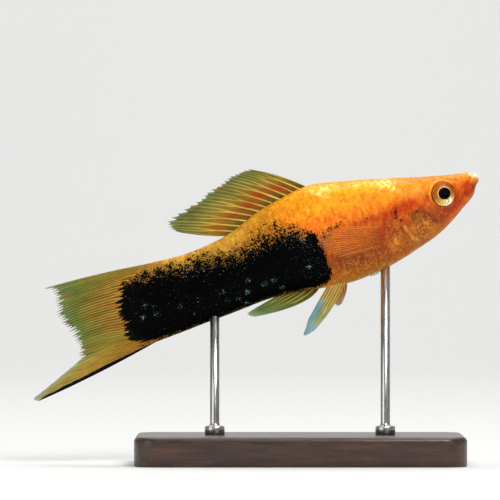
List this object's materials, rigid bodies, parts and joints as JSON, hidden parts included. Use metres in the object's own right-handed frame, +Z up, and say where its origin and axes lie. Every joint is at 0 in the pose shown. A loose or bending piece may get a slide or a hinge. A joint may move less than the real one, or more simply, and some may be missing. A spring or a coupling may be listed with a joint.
{
  "type": "tuxedo swordtail on a display stand",
  "caption": "Life-size adult male swordtail fish, orange with a black rear flank, held nose up in a swimming pose by rods on a flat display base.",
  "frame": {"origin": "centre of the underside of the display base, on the surface it stands on", "axes": "+X towards the fish's head along the base's length, +Y towards the fish's left flank, +Z up; the fish is pitched 20 degrees nose up"},
  "size_m": [0.0759, 0.03, 0.0501],
  "materials": {
    "skin": "wet scaled skin, glossy",
    "tuxedo": "wet scaled skin, black, glossy",
    "fin": "thin rayed membrane, satin",
    "eye": "clear wet dome over a gold iris",
    "base_wood": "dark satin varnish",
    "rod_steel": "polished"
  },
  "bodies": {
    "root": {"head": "skin", "lower_jaw": "skin", "gill_cover_right": "skin", "gill_cover_left": "skin", "trunk": "skin", "tail_stalk": "tuxedo", "eye_right": "eye", "eye_left": "eye", "dorsal_fin": "fin", "caudal_fin": "fin", "sword": "fin", "gonopodium": "fin", "pelvic_fin_right": "fin", "pelvic_fin_left": "fin", "pectoral_fin_right": "fin", "pectoral_fin_left": "fin", "stand_base": "base_wood", "stand_rod_front": "rod_steel", "stand_rod_rear": "rod_steel"}
  },
  "joints": []
}
